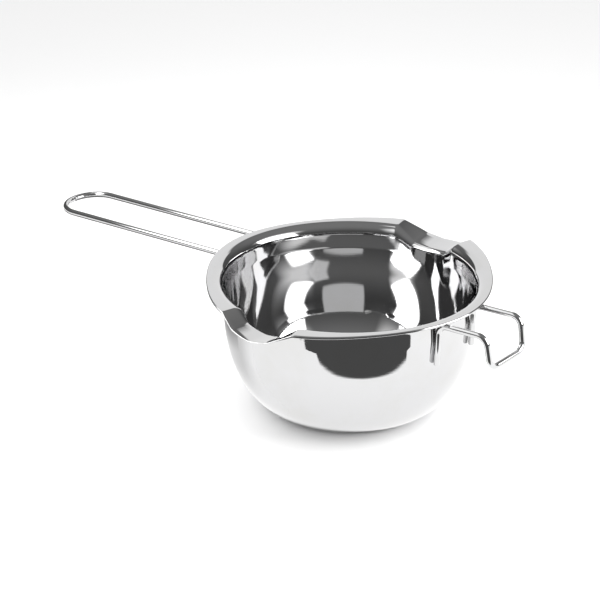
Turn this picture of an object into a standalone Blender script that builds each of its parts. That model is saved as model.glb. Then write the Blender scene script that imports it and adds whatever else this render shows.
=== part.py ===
# Wax melting pot: a polished steel bowl with two pouring spouts, a wire handle and a wire pan hook.
# Run with: blender --background --python part.py
# Metres, +Z up. The origin is the middle of the flat base, +X points to the hook, -X to the handle.
# The sizes of the bowl are those of the sheet's upper face, which is also the inside of the bowl.
import math

import bmesh
import bpy
from mathutils import Vector

MM = 0.001

# Bowl
SHEET = 0.6 * MM  # thickness of the pressed sheet
RIM_HEIGHT = 66.0 * MM  # from the table to the top of the rim
RIM_RADIUS = 70.0 * MM  # mean outer radius of the rim
RIM_OVAL = 1.5 * MM  # how much the rim is drawn out towards the spouts
RIM_LOBE = 1.9 * MM  # how much it stands out at the spouts, handle and hook, and in between them
RIM_FILLET = 5.4 * MM  # bend from the flat rim into the wall
EDGE_TURN = 1.1 * MM  # height of the rim's turned-down edge
EDGE_BEVEL = 0.5 * MM  # softened corner of that edge
WALL_LEAN = math.radians(3.0)  # the wall leans out from the belly up to the rim
RIM_FLANGE = 10.3 * MM  # mean width from the body, where the belly meets the wall, out to the rim's edge
BODY_RADIUS = RIM_RADIUS - RIM_FLANGE
BODY_OVAL = 0.9 * MM  # how much the body is drawn out towards the handle and the hook
BODY_LOBE = 0.6 * MM  # how much it stands out at the spouts, handle and hook, and in between them
BELLY_HEIGHT = 46.0 * MM  # from the table up to where the belly's curve would stand upright
BASE_RADIUS = 31.0 * MM  # flat that the bowl stands on

# Spouts, both alike: half a turn about the bowl's axis takes one to the other
SPOUT_WIDTH = 42.0 * MM  # between the two outer folds at the rim's edge
STEEP_RUN = 8.6 * MM  # width of the shorter slope, on the clockwise side seen from above
STEEP_SHARE = 0.72  # how much of the spout's drop that slope reaches at its foot
EASY_RUN = 12.4 * MM  # width of the longer slope, on the other side
EASY_SHARE = 0.83  # how much of the drop that slope reaches
TROUGH_POWER = 1.4  # how round the trough is between the two slopes
SPOUT_DEPTH = 6.7 * MM  # the lip's drop below the rim
SPOUT_JUT = 1.1 * MM  # how far the lip stands out past the rim's edge
LIP_RUN = 10.5 * MM  # from the lip back to the bend down into the bowl
LIP_RISE = 0.5 * MM  # from that bend up to the lip
CREST_FILLET = 2.6 * MM  # radius of that bend

# Wires
WIRE = 3.0 * MM  # diameter of both wires
WELD_GAP = 0.3 * MM  # between a wire and the wall and rim that it is welded to
LEG_LENGTH = 20.6 * MM  # from a leg's end up to its top bend, both wires
LEG_BEND = 5.0 * MM  # centre-line radius where a leg turns out under the rim
HANDLE_SPAN = 28.0 * MM  # between the centre lines of the handle's two rods
HANDLE_FALL = math.radians(2.4)  # the handle slopes down away from the bowl
HANDLE_REACH = 182.8 * MM  # from the bowl's axis to the handle's far end
HOOK_SPAN = 27.4 * MM  # between the centre lines of the hook's two rods
HOOK_END_SPAN = 25.8 * MM  # the same where they turn across to each other
HOOK_RISE = math.radians(3.0)  # the hook slopes up away from the bowl
HOOK_REACH = 92.7 * MM  # from the bowl's axis to the hook's far side
HOOK_DEPTH = 15.4 * MM  # how far the hook comes down outside the pan
HOOK_LEAN = 2.3 * MM  # how far out the hook's lower end leans
HOOK_BEND = 5.0 * MM  # centre-line radius of the hook's other bends

# Fineness of the meshes
TROUGH_STEPS = 6
SLOPE_STEPS = 3
PLAIN_STEPS = 12
FILLET_STEPS = 6
BELLY_STEPS = 9
BEND_STEPS = 5
WIRE_SIDES = 3  # bevel resolution, which gives ten sides


def rim_radius(angle):
    # outer radius of the rim without its spouts, at an angle from a spout's middle
    return RIM_RADIUS + RIM_OVAL * math.cos(2 * angle) + RIM_LOBE * math.cos(4 * angle)


def spout_share(across):
    # the drop at a place across the spout, as a share of the drop in its middle:
    # a shallow trough between two even slopes of unlike widths
    run, reached = (STEEP_RUN, STEEP_SHARE) if across < 0 else (EASY_RUN, EASY_SHARE)
    half = SPOUT_WIDTH / 2
    if abs(across) <= half - run:
        return 1 - (1 - reached) * (abs(across) / (half - run)) ** TROUGH_POWER
    return max(0.0, reached * (half - abs(across)) / run)


def tangent_angle(centre, radius, point, side):
    # where a line from the point touches the circle, as an angle about its centre
    dr, dz = point[0] - centre[0], point[1] - centre[1]
    return math.atan2(dz, dr) + side * math.acos(min(1.0, radius / math.hypot(dr, dz)))


def belly(angle):
    # the belly's curve is a quarter ellipse from the flat base: its width, height and last turn,
    # where it leans out as the wall does
    wide = BODY_RADIUS - BODY_OVAL * math.cos(2 * angle) + BODY_LOBE * math.cos(4 * angle) - BASE_RADIUS
    tall = BELLY_HEIGHT - SHEET
    return wide, tall, -math.atan(math.tan(WALL_LEAN) * tall / wide)


def belly_point(angle, turn):
    wide, tall, last = belly(angle)
    return BASE_RADIUS + wide * math.cos(turn), BELLY_HEIGHT + tall * math.sin(turn)


def section(angle):
    # the sheet's upper face at an angle from the nearest spout's middle, anticlockwise from above,
    # from its edge to the flat base
    half_angle = math.asin(SPOUT_WIDTH / 2 / rim_radius(0))
    share = spout_share(SPOUT_WIDTH / 2 * angle / half_angle)
    lip_r = rim_radius(angle) + SPOUT_JUT * share ** 2
    lip_z = RIM_HEIGHT - SPOUT_DEPTH * share

    last = belly(angle)[2]
    foot = belly_point(angle, last)
    rise = RIM_HEIGHT - RIM_FILLET - foot[1]
    plain_r = foot[0] + rise * math.tan(WALL_LEAN) + RIM_FILLET / math.cos(WALL_LEAN)
    crest_r = (1 - share) * plain_r + share * (rim_radius(0) + SPOUT_JUT - LIP_RUN)
    fillet = (1 - share) * RIM_FILLET + share * CREST_FILLET
    centre = (crest_r, RIM_HEIGHT - (SPOUT_DEPTH + LIP_RISE) * share - fillet)

    points = [(lip_r, lip_z - EDGE_TURN), (lip_r, lip_z - EDGE_BEVEL), (lip_r - EDGE_BEVEL, lip_z)]
    start = tangent_angle(centre, fillet, points[-1], 1)
    end = tangent_angle(centre, fillet, foot, -1) % (2 * math.pi)
    for i in range(FILLET_STEPS + 1):
        turn = start + (end - start) * i / FILLET_STEPS
        points.append((centre[0] + fillet * math.cos(turn), centre[1] + fillet * math.sin(turn)))
    for i in range(BELLY_STEPS + 1):
        points.append(belly_point(angle, last - (last + math.pi / 2) * i / BELLY_STEPS))
    return points


def half_angles():
    # from one plain side's middle, through a spout, up to the other plain side's middle
    half_angle = math.asin(SPOUT_WIDTH / 2 / rim_radius(0))
    steep = half_angle * (STEEP_RUN / (SPOUT_WIDTH / 2) - 1)
    easy = half_angle * (1 - EASY_RUN / (SPOUT_WIDTH / 2))
    ends = [-math.pi / 2, -half_angle, steep, easy, half_angle, math.pi / 2]
    steps = [PLAIN_STEPS, SLOPE_STEPS, TROUGH_STEPS, SLOPE_STEPS, PLAIN_STEPS]
    return [a + (b - a) * i / n for a, b, n in zip(ends, ends[1:], steps) for i in range(n)]


def bowl_mesh():
    # a loft through the sections: the front spout looks to -Y, and the other half is the same, turned
    mesh = bmesh.new()
    rings = []
    for side in (0, math.pi):
        for turn in half_angles():
            way = turn + side - math.pi / 2
            rings.append([mesh.verts.new((r * math.cos(way), r * math.sin(way), z)) for r, z in section(turn)])
    middle = mesh.verts.new((0, 0, SHEET))
    for this, after in zip(rings, rings[1:] + rings[:1]):
        for i in range(len(this) - 1):
            mesh.faces.new((this[i], after[i], after[i + 1], this[i + 1]))
        mesh.faces.new((this[-1], after[-1], middle))
    bmesh.ops.recalc_face_normals(mesh, faces=mesh.faces)
    if middle.link_faces[0].normal.z < 0:
        bmesh.ops.reverse_faces(mesh, faces=mesh.faces)
    data = bpy.data.meshes.new("bowl")
    mesh.to_mesh(data)
    mesh.free()
    data.shade_smooth()
    data.set_sharp_from_angle(angle=math.radians(20))
    return data


def steel(name, colour, roughness):
    material = bpy.data.materials.new(name)
    material.use_nodes = True
    shader = material.node_tree.nodes["Principled BSDF"]
    shader.inputs["Base Color"].default_value = (*colour, 1)
    shader.inputs["Roughness"].default_value = roughness
    shader.inputs["Metallic"].default_value = 1.0
    return material


def add_bowl(parts):
    bowl = bpy.data.objects.new("bowl", bowl_mesh())
    parts.objects.link(bowl)
    bowl.data.materials.append(steel("polished_sheet", (0.78, 0.78, 0.79), 0.06))
    sheet = bowl.modifiers.new("sheet", "SOLIDIFY")
    sheet.thickness = SHEET
    sheet.offset = -1  # the thickness lies outside and below the lofted face
    sheet.use_even_offset = True
    sheet.use_quality_normals = True
    return bowl


def rounded(corners, bends):
    # the corners of a wire's centre line, each rounded by an arc of its own radius
    points = [corners[0]]
    for before, corner, after, bend in zip(corners, corners[1:], corners[2:], bends):
        back, on = (before - corner).normalized(), (after - corner).normalized()
        half = back.angle(on) / 2
        centre = corner + (back + on).normalized() * bend / math.sin(half)
        first = corner + back * bend / math.tan(half) - centre
        axis = back.cross(on).normalized()
        for i in range(BEND_STEPS + 1):
            turn = (2 * half - math.pi) * i / BEND_STEPS
            points.append(centre + first * math.cos(turn) + axis.cross(first) * math.sin(turn))
    points.append(corners[-1])
    return points


def wire(name, points, parts):
    curve = bpy.data.curves.new(name, "CURVE")
    curve.dimensions = "3D"
    curve.bevel_depth = WIRE / 2
    curve.bevel_resolution = WIRE_SIDES
    curve.use_fill_caps = True
    spline = curve.splines.new("POLY")
    spline.points.add(len(points) - 1)
    for point, place in zip(spline.points, points):
        point.co = (*place, 1)
    spline.use_smooth = True
    curve.materials.append(steel(name + "_steel", (0.74, 0.74, 0.75), 0.1))
    rod = bpy.data.objects.new(name, curve)
    parts.objects.link(rod)
    return rod


def under_rim():
    # where a wire's centre line passes the rim's edge: how far out and how high
    return rim_radius(math.pi / 2), RIM_HEIGHT - EDGE_TURN - WELD_GAP - WIRE / 2


def leg_point(side, height):
    # a leg lies along the wall, a weld's gap off it
    angle = math.acos(side / BODY_RADIUS)
    foot = belly_point(angle, belly(angle)[2])
    from_axis = foot[0] + (SHEET + WELD_GAP + WIRE / 2) / math.cos(WALL_LEAN)
    out = from_axis + (height - foot[1]) * math.tan(WALL_LEAN)
    return Vector((math.sqrt(out ** 2 - side ** 2), side, height))


def leg(side, rise):
    # both ends of a leg, from which the wire rises out to the rim's edge
    edge, height = under_rim()
    top = height - (edge - leg_point(side, height).x) * math.tan(rise)
    return [leg_point(side, top - LEG_LENGTH), leg_point(side, top)]


def add_handle(parts):
    side = HANDLE_SPAN / 2
    edge, height = under_rim()
    end = HANDLE_REACH - WIRE / 2
    low = height - (end - edge) * math.tan(HANDLE_FALL)
    half = leg(side, -HANDLE_FALL) + [Vector((end, side, low))]
    half = [Vector((-p.x, p.y, p.z)) for p in half]
    corners = half + [Vector((p.x, -p.y, p.z)) for p in reversed(half)]
    return wire("handle_wire", rounded(corners, [LEG_BEND, side * 0.999, side * 0.999, LEG_BEND]), parts)


def add_hook(parts):
    side, low_side = HOOK_SPAN / 2, HOOK_END_SPAN / 2
    edge, height = under_rim()
    end = HOOK_REACH - WIRE / 2
    out = end - HOOK_LEAN
    high = height + (out - edge) * math.tan(HOOK_RISE)
    half = leg(side, HOOK_RISE)
    half += [Vector((out, side, high)), Vector((end, low_side, high - HOOK_DEPTH))]
    corners = half + [Vector((p.x, -p.y, p.z)) for p in reversed(half)]
    bends = [LEG_BEND, HOOK_BEND, HOOK_BEND, HOOK_BEND, HOOK_BEND, LEG_BEND]
    return wire("hook_wire", rounded(corners, bends), parts)


def main():
    for obj in list(bpy.data.objects):
        bpy.data.objects.remove(obj, do_unlink=True)
    parts = bpy.data.collections.new("wax_melting_pot")
    bpy.context.scene.collection.children.link(parts)
    add_bowl(parts)
    add_handle(parts)
    add_hook(parts)


main()
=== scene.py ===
import math

import bmesh
import bpy
import numpy as np
from mathutils import Matrix, Vector


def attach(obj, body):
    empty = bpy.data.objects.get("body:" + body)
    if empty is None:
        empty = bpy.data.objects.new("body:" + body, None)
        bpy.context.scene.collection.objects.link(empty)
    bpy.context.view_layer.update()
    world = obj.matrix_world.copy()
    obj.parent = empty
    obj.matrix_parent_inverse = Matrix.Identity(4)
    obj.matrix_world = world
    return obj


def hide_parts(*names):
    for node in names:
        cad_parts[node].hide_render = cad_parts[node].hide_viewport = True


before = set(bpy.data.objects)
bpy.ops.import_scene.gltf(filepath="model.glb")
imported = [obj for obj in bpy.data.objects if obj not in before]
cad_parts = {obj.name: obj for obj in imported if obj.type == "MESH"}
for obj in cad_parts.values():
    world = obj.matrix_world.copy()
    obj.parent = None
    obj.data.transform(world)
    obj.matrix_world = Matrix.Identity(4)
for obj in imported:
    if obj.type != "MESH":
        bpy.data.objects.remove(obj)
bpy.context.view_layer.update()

mm = 0.001
bpy.context.scene.view_settings.view_transform = "Standard"


# Shader graphs

class Field:
    # a socket that can stand in a Python expression, which adds the Math nodes
    def __init__(self, graph, socket):
        self.graph = graph
        self.socket = socket

    def math(self, operation, *values):
        sockets = {i: v for i, v in enumerate(values)}
        return self.graph.node("ShaderNodeMath", {"operation": operation}, sockets)

    def __add__(self, other):
        return self.math("ADD", self, other)

    def __radd__(self, other):
        return self.math("ADD", other, self)

    def __sub__(self, other):
        return self.math("SUBTRACT", self, other)

    def __rsub__(self, other):
        return self.math("SUBTRACT", other, self)

    def __mul__(self, other):
        return self.math("MULTIPLY", self, other)

    def __rmul__(self, other):
        return self.math("MULTIPLY", other, self)

    def __truediv__(self, other):
        return self.math("DIVIDE", self, other)

    def __pow__(self, other):
        return self.math("POWER", self, other)


class Graph:
    # the node tree of one new material
    def __init__(self, name):
        self.material = bpy.data.materials.new(name)
        self.material.use_nodes = True
        self.tree = self.material.node_tree
        self.shader = self.tree.nodes["Principled BSDF"]

    def feed(self, socket, value):
        if isinstance(value, Field):
            self.tree.links.new(value.socket, socket)
        else:
            socket.default_value = value

    def node(self, kind, settings=None, sockets=None, out=0):
        made = self.tree.nodes.new(kind)
        for key, value in (settings or {}).items():
            setattr(made, key, value)
        for key, value in (sockets or {}).items():
            self.feed(made.inputs[key], value)
        return Field(self, made.outputs[out])

    def surface(self, **values):
        # sockets of the Principled shader, written without the spaces in their names
        names = {key.name.replace(" ", ""): key for key in self.shader.inputs}
        for key, value in values.items():
            self.feed(names[key], value)
        return self.material


def separated(graph, place):
    # the three parts of a place
    split = graph.node("ShaderNodeSeparateXYZ", sockets={0: place}).socket.node
    return [Field(graph, output) for output in split.outputs]


def noise(graph, place, pattern):
    scale, detail, roughness = pattern
    sockets = {"Vector": place, "Scale": scale, "Detail": detail, "Roughness": roughness}
    return graph.node("ShaderNodeTexNoise", sockets=sockets)


def ramp(graph, value, low, high, kind="LINEAR", ends=(0.0, 1.0)):
    # from one end's value at low to the other's at high
    sockets = {0: value, 1: low, 2: high, 3: ends[0], 4: ends[1]}
    return graph.node("ShaderNodeMapRange", {"interpolation_type": kind}, sockets)


def bumped(graph, height, relief, under=None):
    # the relief is a strength and a depth, on top of the bump under it if there is one
    sockets = {"Strength": relief[0], "Distance": relief[1], "Height": height}
    if under:
        sockets["Normal"] = under
    return graph.node("ShaderNodeBump", sockets=sockets)


def mixShades(graph, factor, low, high):
    # inputs 0, 6 and 7 and output 2 are the factor and the colours of a Mix node
    sockets = {0: factor, 6: (*low, 1), 7: (*high, 1)}
    return graph.node("ShaderNodeMix", {"data_type": "RGBA"}, sockets, out=2)


# Polished steel. A pattern is the scale, detail and roughness of its noise, a relief is the
# strength and depth of its bump, and a spread is where in the noise the haze begins and is full.

sheetSteel = {
    "shade": (0.58, 0.58, 0.585),
    "dullShade": (0.565, 0.563, 0.56),
    "roughness": 0.03,
    "hazeRoughness": 0.035,
    "hazePattern": (55.0, 4.0, 0.55),
    "hazeSpread": (0.45, 0.7),
    "linePattern": (1.0, 3.0, 0.6),
    "lineRelief": (0.3, 0.012 * mm),
    "lineSpacing": 0.35 * mm,
    "lineBreaks": 1.5,  # changes along a line, per radian round the bowl
    "ripplePattern": (1 / (22 * mm), 1.0, 0.5),  # waves of about 22 mm
    "rippleRelief": (1.0, 0.02 * mm),
}


def polishedSheet(values):
    # lines left by the polishing wheel run round the bowl, under a faint haze and pressed ripples
    graph = Graph("polishedSheet")
    place = graph.node("ShaderNodeTexCoord", out="Object")
    x, y, z = separated(graph, place)
    down = (x * x + y * y) ** 0.5 - z
    bearing = x.math("ARCTAN2", y, x)
    sockets = {0: down / values["lineSpacing"], 1: bearing * values["lineBreaks"], 2: 0.0}
    stretched = graph.node("ShaderNodeCombineXYZ", sockets=sockets)
    lines = noise(graph, stretched, values["linePattern"])
    haze = noise(graph, place, values["hazePattern"])
    hazy = ramp(graph, haze, *values["hazeSpread"])
    ripple = noise(graph, place, values["ripplePattern"])
    rippled = bumped(graph, ripple, values["rippleRelief"])
    return graph.surface(
        BaseColor=mixShades(graph, hazy, values["shade"], values["dullShade"]),
        Metallic=1.0,
        Roughness=values["roughness"] + values["hazeRoughness"] * hazy * lines,
        Normal=bumped(graph, lines, values["lineRelief"], rippled),
    )


wireSteel = {
    "shade": (0.6, 0.6, 0.605),
    "dullShade": (0.56, 0.56, 0.555),
    "roughness": 0.06,
    "hazeRoughness": 0.05,
    "hazePattern": (160.0, 4.0, 0.6),
    "hazeSpread": (0.4, 0.7),
    "hazeRelief": (0.4, 0.02 * mm),
    "pitPattern": (900.0, 3.0, 0.7),
    "pitRelief": (0.3, 0.01 * mm),
}


def drawnWire(name, values):
    # the haze and fine pits of wire that was drawn and then polished
    graph = Graph(name)
    place = graph.node("ShaderNodeTexCoord", out="Object")
    haze = noise(graph, place, values["hazePattern"])
    pits = noise(graph, place, values["pitPattern"])
    hazy = ramp(graph, haze, *values["hazeSpread"])
    drawn = bumped(graph, haze, values["hazeRelief"])
    return graph.surface(
        BaseColor=mixShades(graph, hazy, values["shade"], values["dullShade"]),
        Metallic=1.0,
        Roughness=values["roughness"] + values["hazeRoughness"] * hazy,
        Normal=bumped(graph, pits, values["pitRelief"], drawn),
    )


def addObject(name, data):
    made = bpy.data.objects.new(name, data)
    bpy.context.scene.collection.objects.link(made)
    return made


def addMesh(name, points, faces, material):
    mesh = bpy.data.meshes.new(name)
    mesh.from_pydata(points, [], faces)
    mesh.update()
    mesh.materials.append(material)
    return addObject(name, mesh)


# The bowl. Its sizes are those of the sheet's upper face, which is also the inside of the bowl.

bowlShape = {
    "sheet": 0.6 * mm,
    "rimHeight": 66.0 * mm,
    "rimRadius": 70.0 * mm,
    "rimOval": 1.5 * mm,  # drawn out towards the spouts
    "rimLobe": 1.9 * mm,  # out at the spouts, handle and hook, and in between them
    "rimFillet": 5.4 * mm,
    "edgeTurn": 1.1 * mm,  # height of the turned-down edge
    "edgeRound": 0.45 * mm,
    "edgeTurnLost": 0.35,  # share of that height that the edge loses at a spout's lip
    "edgeRoundLost": 0.5,  # the same of its radius
    "wallLean": math.radians(4.05),
    "collarLean": math.radians(-1.5),  # the collar is the wall above the crease
    "bodyRadius": 59.7 * mm,
    "bodyOval": 0.9 * mm,  # drawn out towards the handle and hook
    "bodyLobe": 0.6 * mm,
    "bellyHeight": 46.0 * mm,
    "baseRadius": 31.0 * mm,
    "creaseHeight": 53.6 * mm,
    "creaseRound": 0.8 * mm,
    "creaseSink": 3.0 * mm,  # how much lower the crease runs under a spout
    "spoutWidth": 42.0 * mm,
    "steepRun": (8.6 * mm, 6.8 * mm),  # each pair is along the lip and along the bend inside
    "steepShare": (0.72, 0.73),
    "easyRun": (12.4 * mm, 10.8 * mm),
    "easyShare": (0.83, 0.86),
    "troughPower": 1.4,  # 1 is a sharp trough and 2 a round one
    "foldRound": 0.7 * mm,  # how far a fold is softened to either side
    "foldEase": 0.9,  # how much less the ends of that rounding count than its middle
    "spoutDepth": 6.7 * mm,
    "spoutTurn": math.radians(-0.25),  # both spouts together
    "spoutNearing": math.radians(0.55),  # towards each other on the hook's side
    "spoutReach": 74.4 * mm,
    "crestDrop": 7.6 * mm,  # of the bend down into the bowl, at a spout's middle
    "crestRadius": 63.3 * mm,
    "crestFillet": 2.6 * mm,
}

# steps of the bowl's mesh from the base's middle out to the edge, and round the axis in degrees
bowlSteps = {
    "base": 7,
    "belly": 39,
    "wall": 7,
    "crease": 12,
    "fillet": 21,
    "flat": 4,
    "edge": 7,
    "tip": 7,
    "fold": 8,
    "spoutEnd": 19.5,
    "acrossSpout": 0.5,
    "acrossPlain": 1.5,
}


def rimRadius(shape, angle):
    oval, lobe = shape["rimOval"] * math.cos(2 * angle), shape["rimLobe"] * math.cos(4 * angle)
    return shape["rimRadius"] + oval + lobe


def bodyRadius(shape, angle):
    oval, lobe = shape["bodyOval"] * math.cos(2 * angle), shape["bodyLobe"] * math.cos(4 * angle)
    return shape["bodyRadius"] - oval + lobe


def sharpShare(shape, across, line):
    # a shallow trough between a steep slope and a longer, easier one, along the lip (line 0)
    # and along the bend into the bowl (line 1), where the folds have drawn apart
    side = "steep" if across < 0 else "easy"
    run, reached = shape[side + "Run"][line], shape[side + "Share"][line]
    half = shape["spoutWidth"] / 2
    if abs(across) <= half - run:
        return 1 - (1 - reached) * (abs(across) / (half - run)) ** shape["troughPower"]
    return max(0.0, reached * (half - abs(across)) / run)


def spoutShare(shape, across, line):
    # the spout's drop as a share of the drop in its middle, with its folds softened
    steps = np.linspace(-1, 1, bowlSteps["fold"] + 1)
    weights = 1 - shape["foldEase"] * steps ** 2
    drops = [sharpShare(shape, across + shape["foldRound"] * s, line) for s in steps]
    return float(np.average(drops, weights=weights))


def tangentAngle(centre, radius, point, side):
    # where a line from the point touches the circle, as an angle about its centre
    dr, dz = point[0] - centre[0], point[1] - centre[1]
    return math.atan2(dz, dr) + side * math.acos(radius / math.hypot(dr, dz))


def circlePoint(centre, radius, turn):
    return np.array([centre[0] + radius * math.cos(turn), centre[1] + radius * math.sin(turn)])


def bellyOval(shape, angle):
    # width and height of the belly's quarter oval at an angle
    return bodyRadius(shape, angle) - shape["baseRadius"], shape["bellyHeight"] - shape["sheet"]


def bellyPoint(shape, oval, turn):
    across, above = oval[0] * math.cos(turn), oval[1] * math.sin(turn)
    return np.array([shape["baseRadius"] + across, shape["bellyHeight"] + above])


def wallFoot(shape, oval, lean):
    # where the belly leans out as the wall does
    return bellyPoint(shape, oval, -math.atan(math.tan(lean) * oval[1] / oval[0]))


def bellyTangent(shape, oval, point):
    # where a line from a point above the belly touches it, as a turn round the belly's oval
    across = (point[0] - shape["baseRadius"]) / oval[0]
    above = (point[1] - shape["bellyHeight"]) / oval[1]
    return math.atan2(above, across) - math.acos(1 / math.hypot(across, above))


def mixed(low, high, share):
    return (1 - share) * low + share * high


def evenSteps(first, last, count):
    # the places after the first one, up to and with the last one
    return np.linspace(first, last, count + 1)[1:]


def bowlFace(shape, angle):
    # the sheet's upper face at an angle from a spout's middle, from the base's middle to the edge
    halfAngle = math.asin(shape["spoutWidth"] / 2 / rimRadius(shape, 0))
    across = shape["spoutWidth"] / 2 * angle / halfAngle
    share, bendShare = spoutShare(shape, across, 0), spoutShare(shape, across, 1)
    lipR = rimRadius(shape, angle) + (shape["spoutReach"] - rimRadius(shape, 0)) * share ** 2
    lipZ = shape["rimHeight"] - shape["spoutDepth"] * share

    # the wall leans out from the belly to the crease, and the collar runs up into the rim's bend
    wallLean, collarLean, fullFillet = shape["wallLean"], shape["collarLean"], shape["rimFillet"]
    oval = bellyOval(shape, angle)
    footR, footZ = wallFoot(shape, oval, wallLean)
    creaseR = footR + (shape["creaseHeight"] - footZ) * math.tan(wallLean)
    rise = shape["rimHeight"] - fullFillet - shape["creaseHeight"]
    plainR = creaseR + rise * math.tan(collarLean) + fullFillet / math.cos(collarLean)
    fillet = mixed(fullFillet, shape["crestFillet"], share)
    crestZ = shape["rimHeight"] - shape["crestDrop"] * bendShare
    centre = (mixed(plainR, shape["crestRadius"], share), crestZ - fillet)

    # towards a spout's middle the crease sinks and fades into a straight wall
    start = tangentAngle(centre, fillet, (footR, footZ), -1) % (2 * math.pi)
    topR, topZ = circlePoint(centre, fillet, start)
    creaseZ = shape["creaseHeight"] - shape["creaseSink"] * share
    straightR = footR + (topR - footR) * (creaseZ - footZ) / (topZ - footZ)
    crease = np.array([mixed(creaseR, straightR, share), creaseZ])
    last = bellyTangent(shape, oval, crease)
    start = tangentAngle(centre, fillet, crease, -1) % (2 * math.pi)
    foot, top = bellyPoint(shape, oval, last), circlePoint(centre, fillet, start)
    below = crease + (foot - crease) * shape["creaseRound"] / np.linalg.norm(foot - crease)
    above = crease + (top - crease) * shape["creaseRound"] / np.linalg.norm(top - crease)

    # base, belly, wall, crease and collar
    base = bowlSteps["base"]
    points = [(shape["baseRadius"] * i / base, shape["sheet"]) for i in range(base)]
    for turn in np.linspace(-math.pi / 2, last, bowlSteps["belly"] + 1):
        points.append(bellyPoint(shape, oval, turn))
    points += [foot + (below - foot) * t for t in evenSteps(0, 1, bowlSteps["wall"])]
    for t in evenSteps(0, 1, bowlSteps["crease"]):
        points.append(below * (1 - t) ** 2 + crease * 2 * t * (1 - t) + above * t ** 2)
    points += [above + (top - above) * t for t in evenSteps(0, 1, bowlSteps["wall"])]

    # the rim's bend, its flat and the edge that turns down
    edge = shape["edgeRound"] * (1 - shape["edgeRoundLost"] * share)
    turned = shape["edgeTurn"] * (1 - shape["edgeTurnLost"] * share)
    shoulder = np.array([lipR - edge, lipZ])
    end = tangentAngle(centre, fillet, shoulder, 1)
    for turn in evenSteps(start, end, bowlSteps["fillet"]):
        points.append(circlePoint(centre, fillet, turn))
    flat = points[-1]
    points += [flat + (shoulder - flat) * t for t in evenSteps(0, 1, bowlSteps["flat"])]
    edgeCentre = (lipR - edge, lipZ - edge)
    for turn in evenSteps(math.pi / 2, 0, bowlSteps["edge"]):
        points.append(circlePoint(edgeCentre, edge, turn))
    points.append((lipR, lipZ - turned + shape["sheet"] / 2))
    return np.array(points)


def closedSection(shape, angle):
    # both faces of the sheet and the rounded edge between them
    face = bowlFace(shape, angle)
    run = np.gradient(face, axis=0)
    run /= np.linalg.norm(run, axis=1)[:, None]
    out = np.stack([run[:, 1], -run[:, 0]], axis=1)
    flatPoints = bowlSteps["base"] + 1
    out[:flatPoints] = (0, -1)
    back = face + out * shape["sheet"]
    back[:flatPoints, 1] = 0
    end = (face[-1] + back[-1]) / 2
    half = shape["sheet"] / 2
    tip = []
    for turn in evenSteps(0, math.pi, bowlSteps["tip"])[:-1]:
        tip.append(end + half * (-out[-1] * math.cos(turn) + run[-1] * math.sin(turn)))
    return np.concatenate([face, tip, back[::-1]])


def sectionAngles():
    # from one plain side's middle through a spout to the other's, closer together at the spout
    end, plainStep = bowlSteps["spoutEnd"], bowlSteps["acrossPlain"]
    spout = np.arange(-end, end, bowlSteps["acrossSpout"])
    plain = np.linspace(end, 90, round((90 - end) / plainStep), endpoint=False)
    return np.radians(np.concatenate([-90 + plain - end, spout, plain]))


def makeBowl(shape):
    turns = sectionAngles()
    sections = [closedSection(shape, turn) for turn in turns]
    rings = []
    for side in (0, math.pi):
        for turn, section in zip(turns, sections):
            nearing = shape["spoutNearing"] * math.cos(turn + side)
            way = turn + side - math.pi / 2 + shape["spoutTurn"] + nearing
            r, z = section[1:-1, 0], section[1:-1, 1]
            rings.append(np.stack([r * math.cos(way), r * math.sin(way), z], axis=1))
    count, length = len(rings), len(rings[0])
    points = np.concatenate(rings + [np.array([[0, 0, shape["sheet"]], [0, 0, 0]])])
    top, bottom = count * length, count * length + 1
    faces = []
    for i in range(count):
        a, b = i * length, (i + 1) % count * length
        faces.append((a, top, b))
        faces.append((a + length - 1, b + length - 1, bottom))
        faces += [(a + k, b + k, b + k + 1, a + k + 1) for k in range(length - 1)]
    bowl = addMesh("bowlBody", points.tolist(), faces, polishedSheet(sheetSteel))
    if bowl.data.polygons[0].normal.z < 0:
        bowl.data.flip_normals()
    bowl.data.shade_smooth()
    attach(bowl, "root")
    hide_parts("bowl")


# The wires

wireShape = {
    "thickness": 3.0 * mm,
    "weldGap": 0.3 * mm,
    "pressedIn": 0.05 * mm,  # how much of that gap the weld closes
    "legLength": 20.6 * mm,
    "legBend": 5.0 * mm,
    "legLean": math.radians(3.0),
    "rimOverhang": 7.6 * mm,  # from the leg out to the rim's edge
    "sides": 28,
    "bendSteps": 18,
    # how a cut end is rounded: the radius there and the distance from the end, as shares of
    # the wire's radius
    "cutEnd": ((0.55, 0.0), (0.8, 0.06), (0.94, 0.18), (1.0, 0.4)),
}

handleShape = {
    "span": 28.0 * mm,
    "fall": math.radians(2.4),
    "reach": 182.8 * mm,
    "loopBend": 0.999,  # share of half the span, so that the loop's two bends stay apart
}

hookShape = {
    "span": 27.4 * mm,
    "endSpan": 25.8 * mm,
    "rise": math.radians(3.0),
    "reach": 92.7 * mm,
    "depth": 15.4 * mm,
    "lean": 2.3 * mm,
    "bend": 5.0 * mm,
}


def underRim(shape, wire):
    # where a wire's centre line passes the rim's edge: how far out and how high
    height = shape["rimHeight"] - shape["edgeTurn"] - wire["weldGap"] - wire["thickness"] / 2
    return rimRadius(shape, math.pi / 2), height


def legEnds(shape, wire, side, top):
    # both ends of a leg that is pressed on the wall
    lean = wire["legLean"]
    oval = bellyOval(shape, math.acos(side / shape["bodyRadius"]))
    footR, footZ = wallFoot(shape, oval, lean)
    clear = shape["sheet"] + wire["weldGap"] - wire["pressedIn"] + wire["thickness"] / 2
    ends = []
    for height in (top - wire["legLength"], top):
        out = footR + clear / math.cos(lean) + (height - footZ) * math.tan(lean)
        ends.append(Vector((math.sqrt(out ** 2 - side ** 2), side, height)))
    return ends


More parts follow.
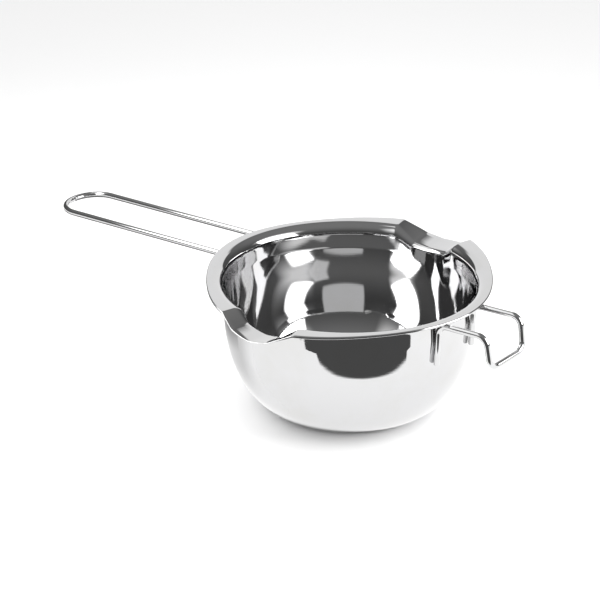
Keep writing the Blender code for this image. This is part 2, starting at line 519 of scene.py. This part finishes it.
def roundedPath(corners, bends, steps):
    # the corners of a wire's centre line, each rounded by an arc of its own radius
    points = [corners[0]]
    for before, corner, after, bend in zip(corners, corners[1:], corners[2:], bends):
        back, on = (before - corner).normalized(), (after - corner).normalized()
        half = back.angle(on) / 2
        centre = corner + (back + on).normalized() * bend / math.sin(half)
        first = corner + back * bend / math.tan(half) - centre
        axis = back.cross(on).normalized()
        for i in range(steps + 1):
            turn = (2 * half - math.pi) * i / steps
            points.append(centre + first * math.cos(turn) + axis.cross(first) * math.sin(turn))
    points.append(corners[-1])
    return points


def sweptWire(name, points, wire, material, node):
    # a round wire along the path, with softly rounded cut ends
    radius, sides = wire["thickness"] / 2, wire["sides"]
    runs = [(b - a).normalized() for a, b in zip(points, points[1:])]
    first, last = runs[0], runs[-1]
    stations = []
    for share, depth in wire["cutEnd"]:
        stations.append((points[0] + first * depth * radius, first, share))
    for place, before, after in zip(points[1:-1], runs, runs[1:]):
        stations.append((place, (before + after).normalized(), 1.0))
    for share, depth in reversed(wire["cutEnd"]):
        stations.append((points[-1] - last * depth * radius, last, share))
    side = first.orthogonal().normalized()
    verts, faces = [], []
    for place, run, share in stations:
        side = (side - run * side.dot(run)).normalized()
        other = run.cross(side)
        for k in range(sides):
            turn = 2 * math.pi * k / sides
            around = side * math.cos(turn) + other * math.sin(turn)
            verts.append(place + around * radius * share)
    for i in range(len(stations) - 1):
        a, b = i * sides, (i + 1) * sides
        faces += [(a + k, a + (k + 1) % sides, b + (k + 1) % sides, b + k) for k in range(sides)]
    end = (len(stations) - 1) * sides
    verts += [points[0], points[-1]]
    faces += [(len(verts) - 2, (k + 1) % sides, k) for k in range(sides)]
    faces += [(len(verts) - 1, end + k, end + (k + 1) % sides) for k in range(sides)]
    rod = addMesh(name, verts, faces, material)
    rod.data.shade_smooth()
    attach(rod, "root")
    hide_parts(node)


def mirrored(half):
    return half + [Vector((p.x, -p.y, p.z)) for p in reversed(half)]


def makeHandle(shape, wire, values, material):
    side = values["span"] / 2
    edge, height = underRim(shape, wire)
    end = values["reach"] - wire["thickness"] / 2
    low = height - (end - edge) * math.tan(values["fall"])
    top = height + wire["rimOverhang"] * math.tan(values["fall"])
    half = legEnds(shape, wire, side, top) + [Vector((end, side, low))]
    half = [Vector((-p.x, p.y, p.z)) for p in half]
    loop = side * values["loopBend"]
    bends = [wire["legBend"], loop, loop, wire["legBend"]]
    path = roundedPath(mirrored(half), bends, wire["bendSteps"])
    sweptWire("handleRod", path, wire, material, "handle_wire")


def makeHook(shape, wire, values, material):
    side, lowSide = values["span"] / 2, values["endSpan"] / 2
    edge, height = underRim(shape, wire)
    end = values["reach"] - wire["thickness"] / 2
    out = end - values["lean"]
    high = height + (out - edge) * math.tan(values["rise"])
    top = height - wire["rimOverhang"] * math.tan(values["rise"])
    half = legEnds(shape, wire, side, top)
    half += [Vector((out, side, high)), Vector((end, lowSide, high - values["depth"]))]
    bends = [wire["legBend"], *[values["bend"]] * 4, wire["legBend"]]
    path = roundedPath(mirrored(half), bends, wire["bendSteps"])
    sweptWire("hookRod", path, wire, material, "hook_wire")


print("bowl")
makeBowl(bowlShape)
print("wires")
makeHandle(bowlShape, wireShape, handleShape, drawnWire("handleWire", wireSteel))
makeHook(bowlShape, wireShape, hookShape, drawnWire("hookWire", wireSteel))


# The camera

cameraView = {
    "bearing": math.radians(39.37),
    "height": math.radians(25.025),
    "roll": math.radians(-0.723),
    "distance": 1188.1 * mm,
    "aim": Vector((0, 0, 33 * mm)),
    "aimPixel": (349.494, 336.695),
    "pictureSize": (600, 599),
    "focalPixels": 2475.0,
    "sensor": 36.0,
}


def makeCamera(view):
    bearing, height, roll = view["bearing"], view["height"], view["roll"]
    level = math.cos(height)
    back = Vector((math.sin(bearing) * level, -math.cos(bearing) * level, math.sin(height)))
    flat = Vector((math.cos(bearing), math.sin(bearing), 0))
    up = back.cross(flat)
    right = flat * math.cos(roll) + up * math.sin(roll)
    up = up * math.cos(roll) - flat * math.sin(roll)
    wide, tall = view["pictureSize"]
    perPixel = view["distance"] / view["focalPixels"]
    aside = (view["aimPixel"][0] - wide / 2) * perPixel
    above = -(view["aimPixel"][1] - tall / 2) * perPixel
    data = bpy.data.cameras.new("studioCamera")
    data.sensor_width = view["sensor"]
    data.lens = view["focalPixels"] / wide * view["sensor"]
    camera = addObject("studioCamera", data)
    place = view["aim"] + back * view["distance"] - right * aside - up * above
    turned = Matrix((right, up, back)).transposed().to_4x4()
    camera.matrix_world = Matrix.Translation(place) @ turned
    bpy.context.scene.camera = camera


print("camera")
makeCamera(cameraView)


# The studio: an overexposed white table, a white board behind, a soft box and a screen on
# either side, and a dark room.

studio = {
    "floorSize": 3.0,
    "floorDrop": 0.02 * mm,  # keeps the floor clear of the pot's base
    "floorShade": (0.9, 0.9, 0.9),
    "floorRoughness": 0.9,
    "mottlePattern": (6.0, 2.0, 0.5),
    "mottleShare": 0.985,  # the darker spots' brightness
    "skyStrength": 0.95,
    "roomRadius": 2.4,
    "roomSegments": (48, 24),
    "roomGlow": (0.1, 0.27),  # low and overhead
    "roomFade": (0.6, 1.0),  # shares of the room's height between which the one becomes the other
    "bounces": 14,
}

# Each card shows in the steel alone. Its corners, round the card, are in millimetres across (to
# the picture's right of the pot), ahead (from the pot towards the camera) and up. Soft gives the
# shares of its width and height over which it fades out, cover how much it hides of what lies
# behind it, and hole a clear spot: across, ahead and its inner and outer radius.
cards = {
    "backBoard": {
        "corners": [(-142, -293, -60), (142, -293, -60), (142, -293, 296), (-142, -293, 296)],
        "soft": (0.06, 0.12),
        "glow": 1.12,
    },
    "leftScreen": {
        "corners": [(-200, 330, 110), (-200, -260, 110), (-200, -260, 620), (-200, 330, 620)],
        "soft": (0.4, 0.45),
        "glow": 1.7,
    },
    "leftSoftBox": {
        "corners": [(-185, 130, 85), (-185, -85, 100), (-185, -215, 340), (-185, 75, 240)],
        "soft": (0.12, 0.12),
        "glow": 5.0,
    },
    "rightScreen": {
        "corners": [(165, 220, 150), (345, -80, 150), (345, -80, 440), (165, 220, 440)],
        "soft": (0.35, 0.45),
        "glow": 1.8,
    },
    "rightSoftBox": {
        "corners": [(159, 200, 80), (270, 18, 80), (318, -60, 285), (185, 157, 285)],
        "soft": (0.12, 0.16),
        "glow": 9.0,
    },
    "highScreen": {
        "corners": [(-100, -60, 730), (-180, -620, 730), (-480, -560, 730), (-330, -60, 730)],
        "soft": (0.12, 0.12),
        "glow": 1.3,
    },
    "leftShade": {
        "corners": [(-38, 42, 0.3), (-8, -46, 0.3), (-110, -260, 0.3), (-300, -40, 0.3)],
        "soft": (0.25, 0.25),
        "glow": 0.95,
    },
    "handleShade": {
        "corners": [(-101, -11, 0.5), (-31, -96, 0.5), (-220, -252, 0.5), (-290, -167, 0.5)],
        "soft": (0.05, 0.2),
        "glow": 0.2,
    },
    "litTable": {
        "corners": [(-1000, 1000, 0.2), (1000, 1000, 0.2),
                    (1000, -1000, 0.2), (-1000, -1000, 0.2)],
        "soft": (0.001, 0.001),
        "cover": 0.8,
        "hole": (-4, 2, 37, 41),
        "glow": 1.42,
    },
    "tableEnd": {
        "corners": [(-46, 118, 0.4), (74, 104, 0.4), (520, 480, 0.4), (-640, 517, 0.4)],
        "soft": (0.01, 0.01),
        "glow": 0.1,
    },
    "farTable": {
        "corners": [(-640, 510, 0.4), (520, 473, 0.4), (760, 1400, 0.4), (-900, 1400, 0.4)],
        "soft": (0.001, 0.001),
        "glow": 0.1,
    },
}
cardSteps = 12

lamps = {
    "leftLamp": {"place": (-184, -55, 270), "size": 370 * mm, "glow": 2.0},
    "rightLamp": {"place": (237, 70, 240), "size": 290 * mm, "glow": 4.8},
}
lampAim = Vector((0, 0, 30 * mm))


def fromCamera(view, across, ahead, up=0.0):
    bearing = view["bearing"]
    right = Vector((math.cos(bearing), math.sin(bearing), 0))
    near = Vector((math.sin(bearing), -math.cos(bearing), 0))
    return right * across + near * ahead + Vector((0, 0, up))


def onlyReflected(piece):
    piece.visible_camera = False
    piece.visible_diffuse = False
    piece.visible_shadow = False
    piece.visible_transmission = False
    piece.visible_volume_scatter = False


def paleFloor(name, values):
    graph = Graph(name)
    place = graph.node("ShaderNodeTexCoord", out="Object")
    mottle = noise(graph, place, values["mottlePattern"])
    shade = values["floorShade"]
    faint = tuple(c * values["mottleShare"] for c in shade)
    return graph.surface(BaseColor=mixShades(graph, mottle, shade, faint),
                         Roughness=values["floorRoughness"], SpecularIORLevel=0.0)


def lightOnly(graph, **values):
    # a surface that gives light and reflects none
    return graph.surface(BaseColor=(0, 0, 0, 1), Roughness=1.0, SpecularIORLevel=0.0, **values)


def glowing(name, view, values):
    # an even light that fades out towards the card's edges, and round a hole if it has one
    graph = Graph(name)
    parts = separated(graph, graph.node("ShaderNodeTexCoord", out="UV"))
    mask = values.get("cover", 1.0)
    for part, soft in zip(parts, values["soft"]):
        inset = 0.5 - part.math("ABSOLUTE", part - 0.5)
        mask = mask * ramp(graph, inset, 0.0, soft, "SMOOTHSTEP")
    if "hole" in values:
        across, ahead, inner, outer = (v * mm for v in values["hole"])
        spot = graph.node("ShaderNodeTexCoord", out="Object")
        sockets = {0: spot, 1: fromCamera(view, across, ahead)}
        away = graph.node("ShaderNodeVectorMath", {"operation": "DISTANCE"}, sockets, out="Value")
        mask = mask * ramp(graph, away, inner, outer, "SMOOTHSTEP")
    return lightOnly(graph, Alpha=mask, EmissionColor=(1, 1, 1, 1), EmissionStrength=values["glow"])


def roomDark(name, values):
    # dim walls that get a little lighter overhead
    graph = Graph(name)
    height = separated(graph, graph.node("ShaderNodeTexCoord", out="Generated"))[2]
    shade = ramp(graph, height, *values["roomFade"], "SMOOTHSTEP", values["roomGlow"])
    colour = mixShades(graph, shade, (0, 0, 0), (1, 1, 1))
    return lightOnly(graph, EmissionColor=colour, EmissionStrength=1.0)


def makeFloor(values):
    size = values["floorSize"] / 2
    corners = [(-size, -size, 0), (size, -size, 0), (size, size, 0), (-size, size, 0)]
    floor = addMesh("floor", corners, [(0, 1, 2, 3)], paleFloor("paleFloor", values))
    floor.location.z = -values["floorDrop"]


def makeRoom(values):
    mesh = bpy.data.meshes.new("darkRoom")
    shape = bmesh.new()
    wide, tall = values["roomSegments"]
    bmesh.ops.create_uvsphere(shape, u_segments=wide, v_segments=tall, radius=values["roomRadius"])
    shape.to_mesh(mesh)
    shape.free()
    mesh.materials.append(roomDark("darkRoom", values))
    room = addObject("darkRoom", mesh)
    onlyReflected(room)


def makeCard(name, view, values):
    # a fine grid, so that the fade follows a card of any four corners
    corners = [fromCamera(view, *(v * mm for v in corner)) for corner in values["corners"]]
    points, places, faces = [], [], []
    row = cardSteps + 1
    for j in range(row):
        for i in range(row):
            u, v = i / cardSteps, j / cardSteps
            low = corners[0].lerp(corners[1], u)
            high = corners[3].lerp(corners[2], u)
            points.append(low.lerp(high, v))
            places.append((u, v))
            if i < cardSteps and j < cardSteps:
                first = j * row + i
                faces.append((first, first + 1, first + row + 1, first + row))
    card = addMesh(name, points, faces, glowing(name, view, values))
    layer = card.data.uv_layers.new(name="across")
    for loop in card.data.loops:
        layer.data[loop.index].uv = places[loop.vertex_index]
    onlyReflected(card)


def makeLamp(name, view, values):
    # the soft box's light on the table, without its mirror image, which is the card's
    data = bpy.data.lights.new(name, "AREA")
    data.size = values["size"]
    data.energy = values["glow"] * math.pi * values["size"] ** 2
    lamp = addObject(name, data)
    lamp.location = fromCamera(view, *(v * mm for v in values["place"]))
    lamp.rotation_euler = (lampAim - lamp.location).to_track_quat("-Z", "Y").to_euler()
    lamp.visible_glossy = False
    lamp.visible_camera = False


def makeWorld(values):
    world = bpy.data.worlds.new("studioWhite")
    world.use_nodes = True
    sky = world.node_tree.nodes["Background"]
    sky.inputs["Color"].default_value = (1, 1, 1, 1)
    sky.inputs["Strength"].default_value = values["skyStrength"]
    bpy.context.scene.world = world


print("studio")
makeFloor(studio)
makeRoom(studio)
for cardName, card in cards.items():
    makeCard(cardName, cameraView, card)
for lampName, lamp in lamps.items():
    makeLamp(lampName, cameraView, lamp)
makeWorld(studio)
cycles = bpy.context.scene.cycles
cycles.max_bounces = cycles.glossy_bounces = studio["bounces"]

print("finished")
